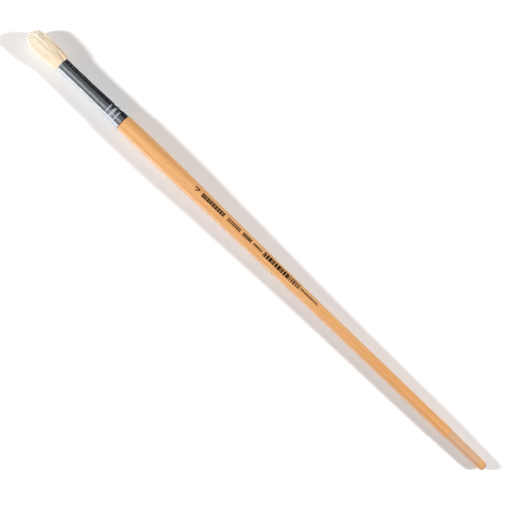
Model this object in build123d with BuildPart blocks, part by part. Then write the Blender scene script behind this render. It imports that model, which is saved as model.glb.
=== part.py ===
from build123d import *
import os
from math import isclose

# Round stencil brush, in millimetres.
# The brush lies along X with its bristles towards +X and +Z up.
# The origin is the middle of the underside of its bounding box.

# Driving dimensions
length = 315.0
bristle_length = 22.9
ferrule_length = 41.8
film = 0.02  # clearance left between pieces that are fixed to one another

# Free bristles
knot_radius = 5.3
knot_mouth_radius = 3.38
knot_poles = [(0.5, 4.9), (5.0, 4.85), (10.0, 5.3)]  # side curve: height above the mouth, radius
knot_shoulder_height = 17.0
side_bend_height = 7.5
press_height = 14.5
slice_gap = 0.05

# Ferrule
wall = 0.35
ferrule_mouth_radius = 3.75
ferrule_waist_radius = 3.92
ferrule_rear_radius = 4.25
ferrule_straight = 17.0
ferrule_waist = 25.0
mouth_round = 0.14
crimp_count = 2
crimp_offset = 5.1
crimp_pitch = 3.14
crimp_width = 3.06
crimp_depth = 0.3
lip_round = 0.15

# Handle
belly_radius = 4.55
belly_length = 30.0
belly_offset = 3.0
shoulder_radius = 4.4
shoulder_round = 0.4
taper_radius = 2.87
taper_stations = [(47.0, 2.92), (97.0, 3.12), (147.0, 3.75), (172.0, 4.15)]  # ahead of the band
band_length = 20.25
band_step = 0.16
band_end_radius = 2.5
nib_length = 4.6
nib_radius = 2.42
nib_end_radius = 2.3
nib_round = 1.2
tenon_length = 17.5
tenon_chamfer = 0.5

# Glue, resin, thread and bristle roots inside the ferrule
glue_thickness = 0.32
glue_length = 6.0
root_length = 20.0
resin_floor = 1.4
resin_sleeve = 0.3
resin_sleeve_length = 9.0
thread_radius = 0.16
thread_turns = 5
thread_pitch = 0.3
thread_offset = 6.5

# Places along X and radii that follow from the driving dimensions
axis_z = knot_radius
tip_x = length / 2
tail_x = -length / 2
mouth_x = tip_x - bristle_length
straight_x = mouth_x - ferrule_straight
waist_x = mouth_x - ferrule_waist
ferrule_x = mouth_x - ferrule_length
shoulder_x = ferrule_x - film
belly_front_x = shoulder_x - belly_offset
belly_rear_x = belly_front_x - belly_length
nib_x = tail_x + nib_length
band_x = nib_x + band_length
tenon_x = ferrule_x + tenon_length
glue_x = tenon_x - glue_length
root_x = mouth_x - root_length
sleeve_x = root_x + resin_sleeve_length
thread_x = mouth_x - thread_offset
bore_radius = ferrule_mouth_radius - wall
root_radius = bore_radius - film
rear_root_radius = root_radius - resin_sleeve - film

crimp_xs = [ferrule_x + crimp_offset + number * crimp_pitch for number in range(crimp_count)]

axis = Axis((0, 0, axis_z), (1, 0, 0))
profile_plane = Plane((0, 0, axis_z), x_dir=(1, 0, 0), z_dir=(0, 1, 0))
os.makedirs("parts", exist_ok=True)


def cone_radius(x):
    """Outer radius of the ferrule's rear cone at x, between its crimps."""
    share = (waist_x - x) / (waist_x - ferrule_x)
    return ferrule_waist_radius + share * (ferrule_rear_radius - ferrule_waist_radius)


def throat_radius(x):
    """Bore radius of the ferrule at x, between its waist and its straight front."""
    share = (x - waist_x) / (straight_x - waist_x)
    return ferrule_waist_radius - wall - share * (ferrule_waist_radius - ferrule_mouth_radius)


def crimped_cone(inset, end_x):
    """Draws the crimped cone from the ferrule's rear edge to end_x, inset from its outside."""
    start = (ferrule_x, cone_radius(ferrule_x) - inset)
    for middle_x in crimp_xs:
        rear_x = middle_x - crimp_width / 2
        front_x = middle_x + crimp_width / 2
        rear_lip = (rear_x, cone_radius(rear_x) - inset)
        bottom = (middle_x, cone_radius(middle_x) - inset - crimp_depth)
        front_lip = (front_x, cone_radius(front_x) - inset)
        Line(start, rear_lip)
        ThreePointArc(rear_lip, bottom, front_lip)
        start = front_lip
    Line(start, (end_x, cone_radius(end_x) - inset))


def on_crimp_lip(vertex):
    """True for a corner of the ferrule's outside where a crimp begins or ends."""
    at_lip = any(isclose(abs(vertex.X - middle_x), crimp_width / 2) for middle_x in crimp_xs)
    return at_lip and isclose(vertex.Y, cone_radius(vertex.X))


def save(piece, name):
    """Labels a finished piece and writes it as parts/name.step."""
    piece.part.label = name
    export_step(piece.part, f"parts/{name}.step")


# Ferrule: a drawn tube, straight at the mouth, with a crimped cone that grips the tenon
with BuildPart() as ferrule:
    with BuildSketch(profile_plane) as ferrule_profile:
        with BuildLine():
            crimped_cone(0, waist_x)
            Polyline(
                (waist_x, ferrule_waist_radius),
                (straight_x, ferrule_mouth_radius),
                (mouth_x, ferrule_mouth_radius),
                (mouth_x, bore_radius),
                (straight_x, bore_radius),
                (waist_x, ferrule_waist_radius - wall),
            )
            crimped_cone(wall, waist_x)
            Line((ferrule_x, ferrule_rear_radius - wall), (ferrule_x, ferrule_rear_radius))
        make_face()
        fillet(ferrule_profile.vertices().filter_by(on_crimp_lip), lip_round)
    revolve(axis=axis)
    fillet(ferrule.edges().group_by(Axis.X)[-1], mouth_round)
save(ferrule, "ferrule")

# Handle: one turned stick, from the nib and tail band through the taper and belly to the tenon
tenon_inset = wall + film
tenon_radius = cone_radius(glue_x) - tenon_inset
tenon_neck_radius = tenon_radius - glue_thickness - film
nib_curve_middle = (tail_x + 0.293 * nib_round, nib_end_radius - 0.293 * nib_round)
taper = [(band_x + distance, radius) for distance, radius in taper_stations]
with BuildPart() as handle:
    with BuildSketch(profile_plane):
        with BuildLine():
            Line((tail_x, 0), (tail_x, nib_end_radius - nib_round))
            ThreePointArc(
                (tail_x, nib_end_radius - nib_round),
                nib_curve_middle,
                (tail_x + nib_round, nib_end_radius),
            )
            Polyline(
                (tail_x + nib_round, nib_end_radius),
                (nib_x, nib_radius),
                (nib_x, band_end_radius),
                (band_x, taper_radius - band_step),
                (band_x, taper_radius),
            )
            Spline(
                (band_x, taper_radius),
                *taper,
                (belly_rear_x, belly_radius),
                tangents=((1, 0), (1, 0)),
            )
            Polyline(
                (belly_rear_x, belly_radius),
                (belly_front_x, belly_radius),
                (shoulder_x - shoulder_round, shoulder_radius),
                (shoulder_x, shoulder_radius - shoulder_round),
                (shoulder_x, ferrule_rear_radius - tenon_inset),
                (ferrule_x, ferrule_rear_radius - tenon_inset),
            )
            crimped_cone(tenon_inset, glue_x)
            Polyline(
                (glue_x, tenon_radius),
                (glue_x, tenon_neck_radius),
                (tenon_x - tenon_chamfer, tenon_neck_radius),
                (tenon_x, tenon_neck_radius - tenon_chamfer),
                (tenon_x, 0),
                (tail_x, 0),
            )
        make_face()
    revolve(axis=axis)
save(handle, "handle")

# Tenon glue: the film between the tenon's neck and the ferrule
with BuildPart() as tenon_glue:
    with BuildSketch(profile_plane):
        with BuildLine():
            Polyline(
                (glue_x + film, tenon_neck_radius + film),
                (glue_x + film, cone_radius(glue_x + film) - wall - film),
                (tenon_x, cone_radius(tenon_x) - wall - film),
                (tenon_x, tenon_neck_radius + film),
                close=True,
            )
        make_face()
    revolve(axis=axis)
save(tenon_glue, "tenon_glue")

# Root resin: the cast cup that holds the butts of the bristles
with BuildPart() as root_resin:
    with BuildSketch(profile_plane):
        with BuildLine():
            Polyline(
                (root_x - film - resin_floor, 0),
                (root_x - film - resin_floor, throat_radius(root_x - film - resin_floor) - film),
                (straight_x, root_radius),
                (sleeve_x, root_radius),
                (sleeve_x, root_radius - resin_sleeve),
                (root_x - film, root_radius - resin_sleeve),
                (root_x - film, 0),
                close=True,
            )
        make_face()
    revolve(axis=axis)
save(root_resin, "root_resin")

# Bristle roots: the tied bundle inside the ferrule, with the waist that its thread pulls in
thread_half_width = thread_turns * thread_pitch / 2 + thread_radius
groove_radius = root_radius - 2 * thread_radius - film
with BuildPart() as bristle_roots:
    with BuildSketch(profile_plane):
        with BuildLine():
            Polyline(
                (root_x, 0),
                (root_x, rear_root_radius),
                (sleeve_x + film, rear_root_radius),
                (sleeve_x + film, root_radius),
                (thread_x - thread_half_width, root_radius),
                (thread_x - thread_half_width, groove_radius),
                (thread_x + thread_half_width, groove_radius),
                (thread_x + thread_half_width, root_radius),
                (mouth_x, root_radius),
                (mouth_x, 0),
                close=True,
            )
        make_face()
    revolve(axis=axis)
save(bristle_roots, "bristle_roots")

# Binding thread: turns wound side by side round the bundle, each one bedded into the next
first_turn = thread_x - (thread_turns - 1) * thread_pitch / 2
turn_xs = [first_turn + number * thread_pitch for number in range(thread_turns)]
turns = [(turn_x, root_radius - thread_radius) for turn_x in turn_xs]
with BuildPart() as binding_thread:
    with BuildSketch(profile_plane):
        with Locations(*turns):
            Circle(thread_radius)
    revolve(axis=axis)
save(binding_thread, "binding_thread")


def knot_slice(start_x, end_x):
    """The free bristles between two planes across the brush, as one closed solid."""
    poles = [(mouth_x + height, radius) for height, radius in knot_poles]
    shoulder = (mouth_x + knot_shoulder_height, knot_radius)
    with BuildPart() as piece:
        with BuildSketch(profile_plane):
            with BuildLine():
                Line((tip_x, 0), (mouth_x, 0))
                Line((mouth_x, 0), (mouth_x, knot_mouth_radius))
                Bezier((mouth_x, knot_mouth_radius), *poles, shoulder)
                EllipticalCenterArc((shoulder[0], 0), tip_x - shoulder[0], knot_radius, arc_size=90)
            make_face()
            with Locations(((start_x + end_x) / 2, 0)):
                Rectangle(end_x - start_x, 3 * knot_radius, mode=Mode.INTERSECT)
        revolve(axis=axis)
    return piece


# Free bristles in three lengths, one for each way that the knot gives
bend_x = mouth_x + side_bend_height
press_x = mouth_x + press_height
save(knot_slice(mouth_x + slice_gap, bend_x), "bristle_neck")
save(knot_slice(bend_x + slice_gap, press_x), "bristle_waist")
save(knot_slice(press_x + slice_gap, tip_x), "bristle_dome")
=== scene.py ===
import math
import random

import bpy
from mathutils import Matrix, Vector, noise
from mathutils.bvhtree import BVHTree


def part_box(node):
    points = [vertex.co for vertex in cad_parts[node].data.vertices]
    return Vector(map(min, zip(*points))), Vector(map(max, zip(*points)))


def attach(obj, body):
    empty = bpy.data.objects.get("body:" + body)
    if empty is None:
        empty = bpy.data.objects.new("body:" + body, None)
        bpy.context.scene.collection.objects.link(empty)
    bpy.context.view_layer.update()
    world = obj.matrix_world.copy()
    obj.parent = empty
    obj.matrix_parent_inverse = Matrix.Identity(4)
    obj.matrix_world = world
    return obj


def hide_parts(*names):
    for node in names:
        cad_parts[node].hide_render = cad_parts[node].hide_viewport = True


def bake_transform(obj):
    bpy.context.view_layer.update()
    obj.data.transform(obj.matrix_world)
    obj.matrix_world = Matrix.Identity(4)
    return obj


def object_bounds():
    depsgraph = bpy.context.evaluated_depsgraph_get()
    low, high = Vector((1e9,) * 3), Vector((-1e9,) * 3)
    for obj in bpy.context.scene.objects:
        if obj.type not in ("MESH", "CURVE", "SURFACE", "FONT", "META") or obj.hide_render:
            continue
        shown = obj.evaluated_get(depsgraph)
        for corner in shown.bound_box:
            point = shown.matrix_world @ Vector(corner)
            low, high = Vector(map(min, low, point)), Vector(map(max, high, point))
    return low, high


# A round stencil brush on a pale floor, seen from above. Metres; the brush lies along X, tuft at +X.
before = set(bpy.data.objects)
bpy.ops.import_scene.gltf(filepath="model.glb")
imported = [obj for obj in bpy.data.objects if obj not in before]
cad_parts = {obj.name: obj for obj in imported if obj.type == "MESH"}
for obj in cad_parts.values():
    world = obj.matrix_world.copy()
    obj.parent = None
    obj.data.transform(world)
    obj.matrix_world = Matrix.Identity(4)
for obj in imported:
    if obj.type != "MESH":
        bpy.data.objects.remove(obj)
cad_low, cad_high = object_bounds()

MM = 0.001
WHOLE_TURN = 2 * math.pi
GOLDEN_ANGLE = math.pi * (3 - math.sqrt(5))


# ---------------------------------------------------------------- places, read from the frame

# Lengths that the solids have and their boxes don't give
NIB_LENGTH = 4.6 * MM
BAND_FRONT = 24.85 * MM  # from the tail to the front of its paler band
BELLY_REAR = 33.02 * MM  # from the ferrule back to the rear of the straight belly
SHOULDER_HEIGHT = 17.0 * MM  # from the ferrule's mouth to the knot's widest ring
BEYOND_SOLIDS = 0.02  # a distance from the brush's axis that no solid reaches

ferrule_low, ferrule_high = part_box("ferrule")
tail_x = cad_low.x
tip_x = cad_high.x
ferrule_x = ferrule_low.x
mouth_x = ferrule_high.x
neck_end_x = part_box("bristle_neck")[1].x
waist_end_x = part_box("bristle_waist")[1].x
axis_z = (ferrule_low.z + ferrule_high.z) / 2
bore_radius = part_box("bristle_roots")[1].z - axis_z
nib_x = tail_x + NIB_LENGTH
band_x = tail_x + BAND_FRONT
belly_rear_x = ferrule_x - BELLY_REAR
shoulder_x = mouth_x + SHOULDER_HEIGHT


def across(angle, radius):
    """A vector of length radius across the brush. Angle 0 is up, and a quarter turn is +Y."""
    return Vector((0, radius * math.sin(angle), radius * math.cos(angle)))


def axis_point(x, angle, radius):
    """A point at that distance from the brush's axis, in the direction of angle."""
    return Vector((x, 0, axis_z)) + across(angle, radius)


def solid_tree(node):
    """A lookup of the surface of one CAD node."""
    return BVHTree.FromObject(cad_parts[node], bpy.context.evaluated_depsgraph_get())


def solid_radius(tree, x, angle=0.0):
    """Radius of a solid's surface at x, in the direction of angle. It is 0 where there is no surface."""
    outside = axis_point(x, angle, BEYOND_SOLIDS)
    hit = tree.ray_cast(outside, across(angle, -1.0), BEYOND_SOLIDS)[0]
    return math.hypot(hit.y, hit.z - axis_z) if hit else 0.0


handle_tree = solid_tree("handle")


def handle_radius(x, angle=0.0):
    """Radius of the handle's surface at x, in the direction of angle."""
    return solid_radius(handle_tree, x, angle)


# ---------------------------------------------------------------- node helpers

def new_material(name):
    """An empty material: its node tree and its Principled shader."""
    material = bpy.data.materials.new(name)
    material.use_nodes = True
    tree = material.node_tree
    return material, tree, tree.nodes["Principled BSDF"]


def join(tree, value, socket):
    """Sets a socket to a value, or joins it to another node's output."""
    if isinstance(value, bpy.types.NodeSocket):
        tree.links.new(value, socket)
    else:
        socket.default_value = value


def set_inputs(tree, node, **inputs):
    """Sets a node's inputs by name, with _ for a space."""
    for name, value in inputs.items():
        join(tree, value, node.inputs[name.replace("_", " ")])
    return node


def calculate(tree, operation, *values):
    """The result of a Math node."""
    node = tree.nodes.new("ShaderNodeMath")
    node.operation = operation
    for value, socket in zip(values, node.inputs):
        join(tree, value, socket)
    return node.outputs[0]


def weighted(tree, value, weight, rest=0.0):
    """A value times its weight, plus the rest."""
    return calculate(tree, "ADD", calculate(tree, "MULTIPLY", value, weight), rest)


def object_millimetres(tree):
    """The point being shaded, in millimetres, in the brush's own frame."""
    place = tree.nodes.new("ShaderNodeTexCoord").outputs["Object"]
    scale = tree.nodes.new("ShaderNodeVectorMath")
    scale.operation = "SCALE"
    tree.links.new(place, scale.inputs[0])
    scale.inputs["Scale"].default_value = 1 / MM
    return scale.outputs[0]


def part_of(tree, place, axis):
    """The X, Y or Z part of a place."""
    node = tree.nodes.new("ShaderNodeSeparateXYZ")
    tree.links.new(place, node.inputs[0])
    return node.outputs[axis]


def stretched(tree, place, along, across, offset=0.0):
    """A place scaled by `along` on X and by `across` on Y and Z."""
    mapping = tree.nodes.new("ShaderNodeMapping")
    set_inputs(tree, mapping, Vector=place, Scale=(along, across, across), Location=(offset,) * 3)
    return mapping.outputs[0]


def noise_of(tree, place, detail, roughness=0.5, distortion=0.0):
    """Noise from 0 to 1 at a place."""
    node = tree.nodes.new("ShaderNodeTexNoise")
    set_inputs(tree, node, Vector=place, Scale=1.0, Detail=detail)
    set_inputs(tree, node, Roughness=roughness, Distortion=distortion)
    return node.outputs["Fac"]


def ranged(tree, value, low, high, to_low=0.0, to_high=1.0, smooth=True):
    """Maps a value's range to another range, clamped."""
    node = tree.nodes.new("ShaderNodeMapRange")
    node.interpolation_type = "SMOOTHSTEP" if smooth else "LINEAR"
    set_inputs(tree, node, Value=value, From_Min=low, From_Max=high, To_Min=to_low, To_Max=to_high)
    return node.outputs["Result"]


def faded(tree, x, from_x, start, end, most=1.0, smooth=True):
    """Rises from 0 to most between two distances, in millimetres, ahead of a place along the brush."""
    return ranged(tree, x, from_x / MM + start, from_x / MM + end, 0.0, most, smooth)


def mixed(tree, factor, first, second):
    """Mixes two colours."""
    node = tree.nodes.new("ShaderNodeMix")
    node.data_type = "RGBA"
    join(tree, factor, node.inputs[0])
    for value, socket in ((first, node.inputs[6]), (second, node.inputs[7])):
        join(tree, value if isinstance(value, bpy.types.NodeSocket) else (*value, 1), socket)
    return node.outputs[2]


def ramp(tree, factor, stops):
    """A colour ramp with (place, colour) stops."""
    node = tree.nodes.new("ShaderNodeValToRGB")
    elements = node.color_ramp.elements
    while len(elements) < len(stops):
        elements.new(0.5)
    for element, (place, colour) in zip(elements, stops):
        element.position = place
        element.color = (*colour, 1)
    join(tree, factor, node.inputs[0])
    return node.outputs[0]


def bumped(tree, height, distance, strength):
    """A normal from a height, with its distance in metres."""
    node = tree.nodes.new("ShaderNodeBump")
    set_inputs(tree, node, Height=height, Distance=distance, Strength=strength)
    return node.outputs[0]


# ---------------------------------------------------------------- materials

# Colours as stops, from the dark of each finish to its light
WOOD = ((0.34, (0.5, 0.222, 0.073)), (0.5, (0.614, 0.318, 0.121)), (0.66, (0.69, 0.4, 0.178)))
BAND = ((0.3, (0.434, 0.24, 0.123)), (0.5, (0.515, 0.303, 0.17)), (0.7, (0.565, 0.35, 0.216)))
NIB = ((0.3, (0.48, 0.228, 0.082)), (0.7, (0.63, 0.355, 0.15)))
NICKEL = ((0.34, (0.58, 0.635, 0.7)), (0.66, (0.76, 0.81, 0.865)))
PALE_HAIR = ((0.0, (0.55, 0.365, 0.21)), (0.35, (0.9, 0.775, 0.59)), (1.0, (0.95, 0.87, 0.74)))
# hair in painted shade, for the -Y side near the ferrule
SHADED_STRAW_HAIR = ((0.0, (0.42, 0.26, 0.13)), (0.35, (0.8, 0.63, 0.43)), (1.0, (0.9, 0.78, 0.6)))
INK = ((0.44, (0.018, 0.008, 0.004)), (0.62, (0.04, 0.016, 0.008)), (0.76, (0.18, 0.078, 0.03)))

# Single colours, with an alpha where a shader takes them as they are
WARM_TAPER = (0.56, 0.25, 0.08)
# end grain, with painted shade on the tail's end face
END_GRAIN_AND_SHADE = (0.13, 0.07, 0.035)
# painted shade in the seam behind the ferrule
FERRULE_SEAM_SHADE = (0.09, 0.045, 0.025)
PORE = (0.22, 0.1, 0.036)
BLEACHED_TIP = (0.96, 0.92, 0.85)
BROWN_STREAK = (0.68, 0.5, 0.3)
GLUE_SHADE = (0.5, 0.33, 0.13)
GLUE = (0.78, 0.62, 0.34)
RESIN_SHADE = (0.2, 0.09, 0.025)
RESIN = (0.42, 0.22, 0.07)
LINEN_SHADE = (0.52, 0.46, 0.34)
LINEN = (0.84, 0.8, 0.68)
PAPER_SHADE = (0.78, 0.78, 0.78)
PAPER = (0.82, 0.82, 0.82)
CARD = (0.012, 0.012, 0.013, 1)
WHITE = (1, 1, 1, 1)

# Places, in millimetres
TAPER_START = -20.0  # along X, where the wood begins to turn warmer towards the tail
TAPER_END = -125.0
CRIMPS_MIDDLE = 6.7  # ahead of the ferrule's rear edge
CRIMPS_REACH = 3.6  # to either side of their middle
GLOW_START = 350.0  # from the middle of the brush
GLOW_END = 900.0


def lacquered_wood():
    """Pale fine-grained hardwood under clear lacquer, with a paler band and an orange nib at the tail."""
    material, tree, shader = new_material("lacquered_wood")
    place = object_millimetres(tree)
    x = part_of(tree, place, "X")
    fibres = noise_of(tree, stretched(tree, place, 0.05, 2.6), detail=6, roughness=0.62)
    figure = noise_of(tree, stretched(tree, place, 0.007, 0.34, 7.3), detail=2, distortion=0.3)
    pores = noise_of(tree, stretched(tree, place, 0.55, 7.0, 3.1), detail=2)
    flecks = ranged(tree, pores, 0.64, 0.76)
    grain = weighted(tree, fibres, 0.55, weighted(tree, figure, 0.45))

    # the tail's finishes, each with a slightly ragged edge
    ragged = weighted(tree, fibres, 0.3, x)
    in_band = faded(tree, ragged, band_x, 0.3, 0.05, smooth=False)
    in_nib = faded(tree, ragged, nib_x, 0.3, 0.05, smooth=False)
    warmth = ranged(tree, x, TAPER_START, TAPER_END, 0.0, 0.45)
    colour = mixed(tree, warmth, ramp(tree, grain, WOOD), WARM_TAPER)
    colour = mixed(tree, in_band, colour, ramp(tree, grain, BAND))
    colour = mixed(tree, in_nib, colour, ramp(tree, grain, NIB))

    # darker at both ends of the stick: end grain and painted shade at the tail's end, painted shade in the
    # seam behind the ferrule; and open pores all along it
    colour = mixed(tree, faded(tree, ragged, tail_x, 1.6, 0.4, most=0.75), colour, END_GRAIN_AND_SHADE)
    colour = mixed(tree, faded(tree, ragged, ferrule_x, -0.5, -0.2, most=0.8), colour, FERRULE_SEAM_SHADE)
    colour = mixed(tree, weighted(tree, flecks, 0.5), colour, PORE)

    rough = weighted(tree, in_band, 0.2, ranged(tree, fibres, 0.3, 0.7, 0.3, 0.42))
    height = weighted(tree, flecks, -0.6, fibres)
    set_inputs(tree, shader, Base_Color=colour, Roughness=rough, Normal=bumped(tree, height, 0.03 * MM, 0.6))
    set_inputs(tree, shader, Coat_Weight=1.0, Coat_Roughness=0.16, Coat_IOR=1.5, Specular_IOR_Level=0.4)
    return material


def nickel_plate():
    """Bright plate with fine drawing marks along the tube, a few wipes, and tarnish in its crimps."""
    material, tree, shader = new_material("nickel_plate")
    place = object_millimetres(tree)
    drawn = noise_of(tree, stretched(tree, place, 0.04, 9.0), detail=3)
    wiped = noise_of(tree, stretched(tree, place, 0.5, 0.8, 2.0), detail=5, roughness=0.6)
    ahead = calculate(tree, "SUBTRACT", part_of(tree, place, "X"), ferrule_x / MM + CRIMPS_MIDDLE)
    from_crimps = calculate(tree, "ABSOLUTE", ahead)

    marks = ranged(tree, drawn, 0.3, 0.7, 0.05, 0.13)
    wipes = ranged(tree, wiped, 0.4, 0.75, 0.0, 0.1)
    tarnish = ranged(tree, from_crimps, CRIMPS_REACH, CRIMPS_REACH - 1.0, 0.0, 0.12)
    rough = calculate(tree, "ADD", calculate(tree, "ADD", marks, wipes), tarnish)
    set_inputs(tree, shader, Base_Color=ramp(tree, wiped, NICKEL), Metallic=1.0, Roughness=rough)
    set_inputs(tree, shader, Normal=bumped(tree, drawn, 0.004 * MM, 0.5))
    return material


def hog_bristle(name, by_hair):
    """Natural bristle: cream, palest at the tips, with painted shade in a straw colour near the ferrule on
    the -Y side.

    Separate hairs carry their own tone. The solid bundle of roots gets a streaky one.
    """
    material, tree, shader = new_material(name)
    place = object_millimetres(tree)
    x = part_of(tree, place, "X")
    streaks = noise_of(tree, stretched(tree, place, 0.25, 3.5), detail=4)
    if by_hair:
        own_tone = tree.nodes.new("ShaderNodeAttribute")
        own_tone.attribute_name = "tone"
        tone = own_tone.outputs["Fac"]
    else:
        tone = noise_of(tree, stretched(tree, place, 0.06, 4.5), detail=3)

    # painted shade: near the ferrule, the hairs on the -Y side take the darker straw colour
    towards_tip = faded(tree, x, mouth_x, -1.0, 13.0)
    off_shaded_side = ranged(tree, part_of(tree, place, "Y"), -1.0, 4.0, 0.0, 0.85)
    unshaded = calculate(tree, "MAXIMUM", towards_tip, off_shaded_side)
    colour = mixed(tree, unshaded, ramp(tree, tone, SHADED_STRAW_HAIR), ramp(tree, tone, PALE_HAIR))
    colour = mixed(tree, faded(tree, x, mouth_x, 15.0, 22.0, most=0.7), colour, BLEACHED_TIP)
    colour = mixed(tree, ranged(tree, streaks, 0.55, 0.75, 0.0, 0.3), colour, BROWN_STREAK)
    set_inputs(tree, shader, Base_Color=colour, Roughness=ranged(tree, streaks, 0.3, 0.7, 0.38, 0.55))
    set_inputs(tree, shader, Specular_IOR_Level=0.45, Sheen_Weight=0.3, Sheen_Roughness=0.4)
    set_inputs(tree, shader, Normal=bumped(tree, streaks, 0.01 * MM, 0.3))
    return material


def cured_resin(name, dark, light, roughness):
    """A cast or squeezed-out adhesive, cloudy, with small bubbles."""
    material, tree, shader = new_material(name)
    place = object_millimetres(tree)
    cloud = noise_of(tree, stretched(tree, place, 0.9, 0.9), detail=3)
    bubbles = tree.nodes.new("ShaderNodeTexVoronoi")
    set_inputs(tree, bubbles, Vector=place, Scale=3.0)
    pits = ranged(tree, bubbles.outputs["Distance"], 0.05, 0.2)
    colour = mixed(tree, cloud, dark, light)
    set_inputs(tree, shader, Base_Color=colour, Normal=bumped(tree, pits, 0.02 * MM, 0.5))
    set_inputs(tree, shader, Roughness=ranged(tree, cloud, 0.3, 0.7, roughness, roughness + 0.15))
    set_inputs(tree, shader, Coat_Weight=0.3, Coat_Roughness=0.1)
    return material


def waxed_thread():
    """Linen thread: two plies that run slantwise across each turn."""
    material, tree, shader = new_material("waxed_thread")
    place = object_millimetres(tree)
    plies = tree.nodes.new("ShaderNodeTexWave")
    plies.bands_direction = "DIAGONAL"
    set_inputs(tree, plies, Vector=place, Scale=2.4, Distortion=0.6, Detail=2.0)
    twist = plies.outputs["Fac"]
    fluff = noise_of(tree, stretched(tree, place, 12.0, 12.0), detail=3)
    colour = mixed(tree, calculate(tree, "MULTIPLY", twist, fluff), LINEN_SHADE, LINEN)
    set_inputs(tree, shader, Base_Color=colour, Roughness=ranged(tree, fluff, 0.3, 0.7, 0.5, 0.75))
    set_inputs(tree, shader, Normal=bumped(tree, twist, 0.04 * MM, 0.7), Sheen_Weight=0.2)
    return material


def printing_ink():
    """Dark brown stamped ink, thin in places, so that the wood's grain shows in it."""
    material, tree, shader = new_material("printing_ink")
    place = object_millimetres(tree)
    wear = noise_of(tree, stretched(tree, place, 0.9, 3.0), detail=5, roughness=0.65)
    set_inputs(tree, shader, Base_Color=ramp(tree, wear, INK), Specular_IOR_Level=0.15)
    set_inputs(tree, shader, Roughness=ranged(tree, wear, 0.3, 0.7, 0.35, 0.6))
    return material


def studio_paper():
    """Matt white paper with a faint tooth.

    Far from the brush it glows, so that it stays white to the horizon.
    """
    material, tree, shader = new_material("studio_paper")
    place = object_millimetres(tree)
    tooth = noise_of(tree, stretched(tree, place, 1.2, 1.2), detail=3)
    colour = mixed(tree, tooth, PAPER_SHADE, PAPER)
    set_inputs(tree, shader, Base_Color=colour, Roughness=0.8, Specular_IOR_Level=0.2)
    distance = tree.nodes.new("ShaderNodeVectorMath")
    distance.operation = "LENGTH"
    tree.links.new(place, distance.inputs[0])
    glow = ranged(tree, distance.outputs["Value"], GLOW_START, GLOW_END)
    set_inputs(tree, shader, Emission_Color=WHITE, Emission_Strength=glow)
    return material


def black_card():
    """Matt black card."""
    material, tree, shader = new_material("black_card")
    set_inputs(tree, shader, Base_Color=CARD, Roughness=0.9, Specular_IOR_Level=0.1)
    return material


def set_material(obj, material):
    """Gives a piece or a CAD node one material, and smooth shading."""
    obj.data.materials.clear()
    obj.data.materials.append(material)
    obj.data.polygons.foreach_set("use_smooth", [True] * len(obj.data.polygons))


def mesh_piece(name, vertices, faces, material):
    """A new piece from its vertices and faces."""
    mesh = bpy.data.meshes.new(name)
    mesh.from_pydata(vertices, [], faces)
    mesh.validate()
    obj = bpy.data.objects.new(name, mesh)
    bpy.context.scene.collection.objects.link(obj)
    set_material(obj, material)
    return obj


# ---------------------------------------------------------------- free bristles

BRISTLE_COUNT = 2000
BRISTLE_SIDES = 5
FIRST_SEED = 4000
ROOT_THICKNESS = 0.076 * MM  # radius of one hair at the ferrule
TIP_THICKNESS = 0.072 * MM
RING_STEP = 0.85 * MM
ROOT_DEPTH = 0.5 * MM  # how far the hairs start inside the mouth
OUTLINE_STEP = 0.1 * MM
SLICE_CLEARANCE = 0.02 * MM  # keeps each reading off the planes that part the solids
SMALLEST_OUTLINE = 0.4 * MM

# How the hairs lie together
KNOT_FULLNESS = 1.03  # above 1, so that the outer hairs press against the outline
DOME_CONVERGENCE = 0.6  # share of the dome's narrowing that the hairs follow
LEAN = 0.13 * MM  # in or out, as a standard deviation at the tip
SLANT = 0.05  # round the axis, in radians, as a standard deviation at the tip
LOCK_PULL = 0.19 * MM  # how far the hairs gather into locks at the tip
LOCKS_ALONG = 45  # locks per metre, in the noise that gathers them
LOCKS_ACROSS = 520
LOCK_SEED = 4
DOME_FULLNESS = 0.93  # below 1, so that the outermost hairs also pass the shoulder
USUAL_SHORTFALL = 0.4 * MM  # how far a hair ends behind the dome
MOST_SHORTFALL = 2.2 * MM

# Painted shade: darker outer hairs along the knot's -Y edge
SHADED_SIDE = -0.41 * math.pi  # a little above -Y
SHADED_REACH = 0.24  # to either side of it, in radians
SHADED_SHARE = 0.93  # of the way out from the knot's axis, and beyond
SHADED_TONE = 0.08  # of the hair's own tone


def read_outline():
    """The knot's outer radius at even steps from the ferrule's mouth to the tips, read from its solids."""
    trees = [solid_tree(node) for node in ("bristle_neck", "bristle_waist", "bristle_dome")]
    radii = [bore_radius]
    for step in range(1, round((tip_x - mouth_x) / OUTLINE_STEP)):
        x = mouth_x + step * OUTLINE_STEP + SLICE_CLEARANCE
        found = max(solid_radius(tree, x) for tree in trees)
        radii.append(found or radii[-1])
    return radii + [0.0, 0.0]


knot_outline = read_outline()


def outline(x):
    """Outer radius of the knot at x."""
    place = min(max(0.0, (x - mouth_x) / OUTLINE_STEP), len(knot_outline) - 2)
    step = int(place)
    share = place - step
    return knot_outline[step] * (1 - share) + knot_outline[step + 1] * share


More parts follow.
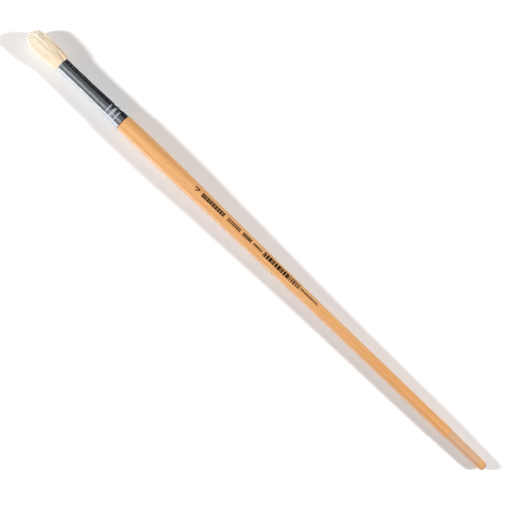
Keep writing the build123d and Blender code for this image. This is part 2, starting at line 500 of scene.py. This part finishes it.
class Bristle:
    """One hair: its place in the knot, its length, its lean and its tone."""

    def __init__(self, number):
        draws = random.Random(FIRST_SEED + number)
        self.share = math.sqrt((number + 0.5) / BRISTLE_COUNT)
        self.angle = number * GOLDEN_ANGLE + draws.uniform(-0.06, 0.06)
        self.lean = draws.gauss(0, LEAN)
        self.slant = draws.gauss(0, SLANT)
        self.wave = draws.uniform(0.02, 0.11) * MM
        self.wave_length = draws.uniform(9, 20) * MM
        self.wave_start = draws.uniform(0, WHOLE_TURN)
        self.wave_angle = draws.uniform(0, WHOLE_TURN)
        self.girth = draws.uniform(0.82, 1.15)
        self.tone = min(1.0, max(0.0, draws.gauss(0.62, 0.16)))
        # painted shade: the outer hairs on the -Y side start darker
        off_shaded_side = abs(math.remainder(self.angle - SHADED_SIDE, WHOLE_TURN))
        in_painted_shade = self.share > SHADED_SHARE and off_shaded_side < SHADED_REACH
        self.root_tone = SHADED_TONE * self.tone if in_painted_shade else self.tone
        reach = math.sqrt(1 - (DOME_FULLNESS * self.share) ** 2)
        shortfall = min(MOST_SHORTFALL, draws.expovariate(1 / USUAL_SHORTFALL))
        self.tip_x = shoulder_x + reach * (tip_x - shoulder_x) - shortfall

    def centre(self, x):
        """The hair's centre line at x."""
        reach = max(0.0, (x - mouth_x) / (tip_x - mouth_x))
        widest = outline(min(x, shoulder_x))
        drawn_in = DOME_CONVERGENCE * (widest - outline(x))
        radius = KNOT_FULLNESS * self.share * (widest - drawn_in) + self.lean * reach
        point = axis_point(x, self.angle + self.slant * reach, radius)
        swing = self.wave * reach * math.sin(self.wave_start + WHOLE_TURN * x / self.wave_length)
        point += across(self.wave_angle, swing)
        where = Vector((x * LOCKS_ALONG, point.y * LOCKS_ACROSS, point.z * LOCKS_ACROSS))
        lock = noise.noise_vector(where)
        point += Vector((0, lock.y, lock.z)) * LOCK_PULL * reach
        return self.kept_inside(point)

    def kept_inside(self, point):
        """Brings a point back inside the knot's outline, and inside the ferrule's bore."""
        limit = max(outline(point.x), SMALLEST_OUTLINE) - self.thickness(point.x)
        if point.x < mouth_x:
            limit = bore_radius - ROOT_THICKNESS
        out = math.hypot(point.y, point.z - axis_z)
        if out <= limit:
            return point
        shrink = limit / out
        return Vector((point.x, point.y * shrink, axis_z + (point.z - axis_z) * shrink))

    def tone_at(self, x):
        """The hair's tone at x. A hair with painted shade lightens slowly, up to the knot's shoulder."""
        cleared = min(1.0, max(0.0, (x - mouth_x) / (shoulder_x - mouth_x)) ** 3)
        return self.root_tone + (self.tone - self.root_tone) * cleared

    def thickness(self, x):
        """The hair's radius at x, thinner towards its tip."""
        reach = min(1.0, max(0.0, (x - mouth_x) / (self.tip_x - mouth_x)))
        return self.girth * (ROOT_THICKNESS + (TIP_THICKNESS - ROOT_THICKNESS) * reach ** 4)


def stations(start_x, end_x):
    """Places along a stretch of hair, evenly spaced, with both its ends."""
    count = max(2, round((end_x - start_x) / RING_STEP))
    return [start_x + (end_x - start_x) * step / count for step in range(count + 1)]


def sharpen_caps(mesh):
    """Keeps the caps at the hairs' ends flat under smooth shading."""
    for polygon in mesh.polygons:
        if len(polygon.vertices) == BRISTLE_SIDES:
            for loop in polygon.loop_indices:
                mesh.edges[mesh.loops[loop].edge_index].use_edge_sharp = True


def bristle_stretch(name, bristles, start_x, end_x, material):
    """All the hairs between two planes across the brush, each a capped tube.

    Without end_x they run to their tips.
    """
    vertices, faces, tones = [], [], []
    for bristle in bristles:
        stop_x = min(bristle.tip_x, end_x) if end_x else bristle.tip_x
        rings = stations(start_x, stop_x)
        first = len(vertices)
        for x in rings:
            centre = bristle.centre(x)
            thickness = bristle.thickness(x)
            for side in range(BRISTLE_SIDES):
                vertices.append(centre + across(WHOLE_TURN * side / BRISTLE_SIDES, thickness))
                tones.append(bristle.tone_at(x))
        for ring in range(len(rings) - 1):
            near = first + ring * BRISTLE_SIDES
            far = near + BRISTLE_SIDES
            for side in range(BRISTLE_SIDES):
                after = (side + 1) % BRISTLE_SIDES
                faces.append((near + side, far + side, far + after, near + after))
        last = first + (len(rings) - 1) * BRISTLE_SIDES
        faces.append(tuple(first + side for side in range(BRISTLE_SIDES)))
        faces.append(tuple(last + side for side in reversed(range(BRISTLE_SIDES))))
    piece = mesh_piece(name, vertices, faces, material)
    sharpen_caps(piece.data)
    attribute = piece.data.attributes.new("tone", "FLOAT", "POINT")
    attribute.data.foreach_set("value", tones)
    return piece


def make_bristles():
    """The knot in three lengths, one for each joint that it bends or shortens at."""
    noise.seed_set(LOCK_SEED)  # without it, noise_vector starts from the clock
    material = hog_bristle("hog_bristle", by_hair=True)
    bristles = [Bristle(number) for number in range(BRISTLE_COUNT)]
    start_x = mouth_x - ROOT_DEPTH
    neck = bristle_stretch("bristles_neck", bristles, start_x, neck_end_x, material)
    waist = bristle_stretch("bristles_waist", bristles, neck_end_x, waist_end_x, material)
    dome = bristle_stretch("bristles_dome", bristles, waist_end_x, None, material)
    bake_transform(neck)
    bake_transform(waist)
    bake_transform(dome)
    for piece, node in ((neck, "bristle_neck"), (waist, "bristle_waist"), (dome, "bristle_dome")):
        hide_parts(node)


# ---------------------------------------------------------------- print on the handle

PRINT_MIDDLE = -1.4 * MM  # across the handle, by arc length: a little to the -Y side of its top
FILM_THICKNESS = 0.02 * MM
FILM_LIFT = 0.025 * MM
FILM_STEP = 0.3 * MM

# The marks, in millimetres: places are behind the brush's tip, and heights are from the print's middle
NUMERAL_START = 113.5
NUMERAL_TOP = 1.12
NUMERAL_BAR_FOOT = 0.5
NUMERAL_LEG_TOP = 0.48  # just short of the bar
NUMERAL_FOOT = -1.1
DASH_ROWS = (  # start, end, height, pitch and stroke of each
    (118.7, 134.5, 2.1, 1.8, 0.97),
    (136.2, 145.0, 1.6, 1.3, 0.62),
    (146.8, 152.6, 1.7, 1.3, 0.76),
    (154.0, 160.0, 1.05, 0.95, 0.45),
)
DASH_WIDTHS = (0.74, 0.88, 0.88, 0.95)  # shares of a row's pitch, as the next two are
DASH_GAP = 0.12
SHORTEST_DASH = 0.4
BARS_START = 161.1
FINE_BARS_START = 177.0
LAST_BAR_START = 185.6
BARS_END = 185.9
BAR_TOP = 1.32
TICKS_START = 186.8
TICK_PITCH = 1.16
TICK_COUNT = 10
TICK_FOOT_WIDTH = 0.92
TICK_TOP_WIDTH = 0.5
TICK_REACH = 0.56


def on_handle(behind_tip, arc, lift):
    """A point over the handle's surface: its distance behind the brush's tip, its arc length from the top."""
    x = tip_x - behind_tip
    angle = arc / handle_radius(x)
    return axis_point(x, angle, handle_radius(x, angle) + lift)


class Print:
    """Flat marks that follow the handle's surface, gathered into one piece."""

    def __init__(self):
        self.vertices, self.faces = [], []

    def patch(self, corners):
        """A closed film between four corners, each (behind_tip, up): up is across the handle, towards -Y."""
        near_low, far_low, far_high, near_high = (Vector(corner) for corner in corners)
        columns = max(1, math.ceil((far_low - near_low).length / (4 * FILM_STEP)))
        rows = max(1, math.ceil((near_high - near_low).length / FILM_STEP))
        first = len(self.vertices)
        for lift in (FILM_LIFT, FILM_LIFT + FILM_THICKNESS):
            for row in range(rows + 1):
                for column in range(columns + 1):
                    low = near_low.lerp(far_low, column / columns)
                    high = near_high.lerp(far_high, column / columns)
                    place = low.lerp(high, row / rows)
                    self.vertices.append(on_handle(place.x, PRINT_MIDDLE - place.y, lift))
        width = columns + 1
        layer = width * (rows + 1)
        for row in range(rows):
            for column in range(columns):
                corner = first + row * width + column
                quad = (corner, corner + 1, corner + 1 + width, corner + width)
                self.faces.append(quad[::-1])
                self.faces.append(tuple(index + layer for index in quad))
        rim = [first + column for column in range(columns)]
        rim += [first + columns + row * width for row in range(rows)]
        rim += [first + layer - 1 - column for column in range(columns)]
        rim += [first + (rows - row) * width for row in range(rows)]
        for index, here in enumerate(rim):
            after = rim[(index + 1) % len(rim)]
            self.faces.append((here, after, after + layer, here + layer))

    def block(self, start, end, low, high, lean=0.0):
        """An upright rectangle, in millimetres. With a lean, its high edge is that much further along."""
        corners = [(start, low), (end, low), (end + lean, high), (start + lean, high)]
        self.patch([(along * MM, up * MM) for along, up in corners])

    def finish(self, name, material):
        """Makes the piece, which rides on the brush."""
        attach(mesh_piece(name, self.vertices, self.faces, material), "brush")


def size_numeral(material):
    """The brush's size number: a plain 7, its leaning leg a hair short of its bar."""
    mark = Print()
    mark.block(NUMERAL_START, NUMERAL_START + 3.1, NUMERAL_BAR_FOOT, NUMERAL_TOP)
    mark.block(NUMERAL_START + 0.6, NUMERAL_START + 1.4, NUMERAL_FOOT, NUMERAL_LEG_TOP, lean=1.7)
    mark.finish("print_size", material)


def dash_row(mark, start, end, height, pitch, stroke, draws):
    """A row of plain dash pairs, of uneven width, that stands for a line of small print."""
    place = start
    while place + SHORTEST_DASH * pitch < end:
        width = pitch * draws.choice(DASH_WIDTHS)
        stop = min(place + width, end)
        mark.block(place, stop, height / 2 - stroke, height / 2)
        mark.block(place, stop, -height / 2, -height / 2 + stroke)
        place += width + DASH_GAP * pitch


def dash_rows(material):
    """Four rows of dashes behind the size number, of differing height and weight."""
    draws = random.Random(71)
    mark = Print()
    for start, end, height, pitch, stroke in DASH_ROWS:
        dash_row(mark, start, end, height, pitch, stroke, draws)
    mark.finish("print_dashes", material)


def bar_group(material):
    """Upright bars whose widths come from a short repeating count, finer towards the tail."""
    mark = Print()
    place = BARS_START
    number = 0
    while place < LAST_BAR_START:
        thinnest, step, gap = (0.3, 0.2, 0.3) if place > FINE_BARS_START else (0.5, 0.4, 0.2)
        width = thinnest + step * (number * 5 % 4)
        mark.block(place, min(place + width, BARS_END), -BAR_TOP, BAR_TOP)
        place += width + gap + 0.1 * (number * 3 % 4)
        number += 1
    mark.finish("print_bars", material)


def tick_row(material):
    """A row of short plain ticks behind the bars, each a wide foot under a narrow top."""
    mark = Print()
    for number in range(TICK_COUNT):
        place = TICKS_START + TICK_PITCH * number
        mark.block(place, place + TICK_FOOT_WIDTH, -TICK_REACH, -0.08)
        mark.block(place, place + TICK_TOP_WIDTH, -0.06, TICK_REACH)
    mark.finish("print_ticks", material)


def make_print():
    """Everything stamped on the handle."""
    material = printing_ink()
    size_numeral(material)
    dash_rows(material)
    bar_group(material)
    tick_row(material)


# ---------------------------------------------------------------- camera, light and floor

AXIS_ANGLE = math.radians(43.73)  # between the brush's axis and the picture's width
CAMERA_HEIGHT = 0.597  # above the brush's axis
VIEW_CENTRE = Vector((0.8 * MM, 2.26 * MM, 0))
LIGHT_ELEVATION = math.radians(29)
LIGHT_SPREAD = 0.12  # width of a soft box, as a share of its distance
RIGHT_DISTANCE = 2.0
LEFT_DISTANCE = 1.15
RIGHT_POWER = 13.2  # watts at 1 m, and more with the square of the distance
LEFT_POWER = 12.4

# Brightness of the studio in reflections, from the +Y horizon at 0, over the top, to -Y's at 1
STUDIO_BANDS = (
    (0.0, 2.2),
    (0.03, 1.0),
    (0.065, 0.55),
    (0.115, 0.24),
    (0.27, 0.22),
    (0.37, 0.62),
    (0.45, 0.36),
    (0.56, 0.12),
    (0.7, 0.17),
    (0.82, 0.03),
    (1.0, 0.015),
)
# Along the brush, as the X part of a direction, the bands give way to even white on both sides
BANDS_MIDDLE = 0.16
BANDS_REACH = 0.36  # from their middle
WHITE_FROM = 0.5
FILL_TINT = (1, 0.86, 0.8)

# The floor and the card: how far they reach from the middle of the brush, and the card's own place
FLOOR_REACH = 3.0
CARD_REACH = 0.6
CARD_FAR_Y = -1.2
CARD_NEAR_Y = -9.0 * MM
CARD_LIFT = 0.3 * MM

# Picture right and up, as directions on the floor
picture_right = Vector((-math.cos(AXIS_ANGLE), -math.sin(AXIS_ANGLE), 0))
picture_up = Vector((math.sin(AXIS_ANGLE), -math.cos(AXIS_ANGLE), 0))


def make_camera():
    """A camera straight above the brush, turned as the picture is."""
    camera = bpy.data.cameras.new("camera")
    camera.lens = 85
    camera.sensor_width = 36
    obj = bpy.data.objects.new("camera", camera)
    bpy.context.scene.collection.objects.link(obj)
    turn = Matrix((picture_right, picture_up, Vector((0, 0, 1)))).transposed()
    place = VIEW_CENTRE + Vector((0, 0, axis_z + CAMERA_HEIGHT))
    obj.matrix_world = Matrix.Translation(place) @ turn.to_4x4()
    bpy.context.scene.camera = obj


def make_lights():
    """Two soft boxes, from the picture's left and right."""
    boxes = (
        ("soft_box_right", picture_right, RIGHT_DISTANCE, RIGHT_POWER),
        ("soft_box_left", -picture_right, LEFT_DISTANCE, LEFT_POWER),
    )
    for name, side, distance, power in boxes:
        light = bpy.data.lights.new(name, "AREA")
        light.shape = "SQUARE"
        light.size = LIGHT_SPREAD * distance
        light.energy = power * distance ** 2
        obj = bpy.data.objects.new(name, light)
        bpy.context.scene.collection.objects.link(obj)
        direction = side * math.cos(LIGHT_ELEVATION) + Vector((0, 0, math.sin(LIGHT_ELEVATION)))
        obj.location = direction * distance
        obj.rotation_euler = direction.to_track_quat("Z", "Y").to_euler()
        obj.visible_camera = False
        obj.visible_glossy = False


def grey(value, tint=(1.0, 1.0, 1.0)):
    """A grey of that brightness, or a tint of it."""
    return tuple(value * part for part in tint)


def make_world():
    """A dim studio round the brush: white sweep on the +Y side, dark on the other, white at both ends.

    Surfaces are lit by a faint fill, and the camera sees white.
    """
    world = bpy.data.worlds.new("studio")
    bpy.context.scene.world = world
    world.use_nodes = True
    tree = world.node_tree
    tree.nodes.clear()
    direction = tree.nodes.new("ShaderNodeTexCoord").outputs["Generated"]
    x, y, z = (part_of(tree, direction, axis) for axis in "XYZ")
    round_axis = calculate(tree, "DIVIDE", calculate(tree, "ARCTAN2", z, y), math.pi)
    bands = ramp(tree, round_axis, [(place, grey(brightness)) for place, brightness in STUDIO_BANDS])
    along = calculate(tree, "ABSOLUTE", calculate(tree, "SUBTRACT", x, BANDS_MIDDLE))
    reflected = mixed(tree, ranged(tree, along, BANDS_REACH, WHITE_FROM), bands, grey(0.9))
    towards_sweep = ranged(tree, y, -0.9, 0.9, smooth=False)
    fill = mixed(tree, towards_sweep, grey(0.03, FILL_TINT), grey(0.36, FILL_TINT))

    rays = tree.nodes.new("ShaderNodeLightPath")
    seen = mixed(tree, rays.outputs["Is Glossy Ray"], fill, reflected)
    seen = mixed(tree, rays.outputs["Is Camera Ray"], seen, grey(1.0))
    background = tree.nodes.new("ShaderNodeBackground")
    set_inputs(tree, background, Color=seen, Strength=1.0)
    output = tree.nodes.new("ShaderNodeOutputWorld")
    tree.links.new(background.outputs[0], output.inputs["Surface"])


def underside(x):
    """Height of the handle's underside at x."""
    return axis_z - handle_radius(x, math.pi)


def sheet_on_floor(name, reach, low_y, high_y, lift, material):
    """A flat sheet from -reach to reach along X, tilted to touch the belly and the tail."""
    belly_height = underside(belly_rear_x)
    slope = (underside(band_x) - belly_height) / (belly_rear_x - band_x)
    corners = [(-reach, low_y), (reach, low_y), (reach, high_y), (-reach, high_y)]
    vertices = [(x, y, belly_height + (belly_rear_x - x) * slope + lift) for x, y in corners]
    sheet = mesh_piece(name, vertices, [(0, 1, 2, 3)], material)
    return sheet


def make_floor():
    """White paper under the brush, and a black card on its -Y side that only reflections show."""
    sheet_on_floor("floor", FLOOR_REACH, -FLOOR_REACH, FLOOR_REACH, 0.0, studio_paper())
    card = sheet_on_floor("black_card", CARD_REACH, CARD_FAR_Y, CARD_NEAR_Y, CARD_LIFT, black_card())
    card.visible_camera = False
    card.visible_diffuse = False
    card.visible_shadow = False


def dress_frame():
    """Materials for the CAD nodes that show or lie inside the brush."""
    finishes = {
        "handle": lacquered_wood(),
        "ferrule": nickel_plate(),
        "tenon_glue": cured_resin("wood_glue", GLUE_SHADE, GLUE, roughness=0.3),
        "root_resin": cured_resin("root_resin", RESIN_SHADE, RESIN, roughness=0.2),
        "binding_thread": waxed_thread(),
        "bristle_roots": hog_bristle("bristle_bundle", by_hair=False),
    }
    for node, material in finishes.items():
        set_material(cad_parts[node], material)


make_camera()
make_world()
make_lights()
make_floor()
dress_frame()
make_bristles()
make_print()
bpy.context.scene.view_settings.view_transform = "Standard"
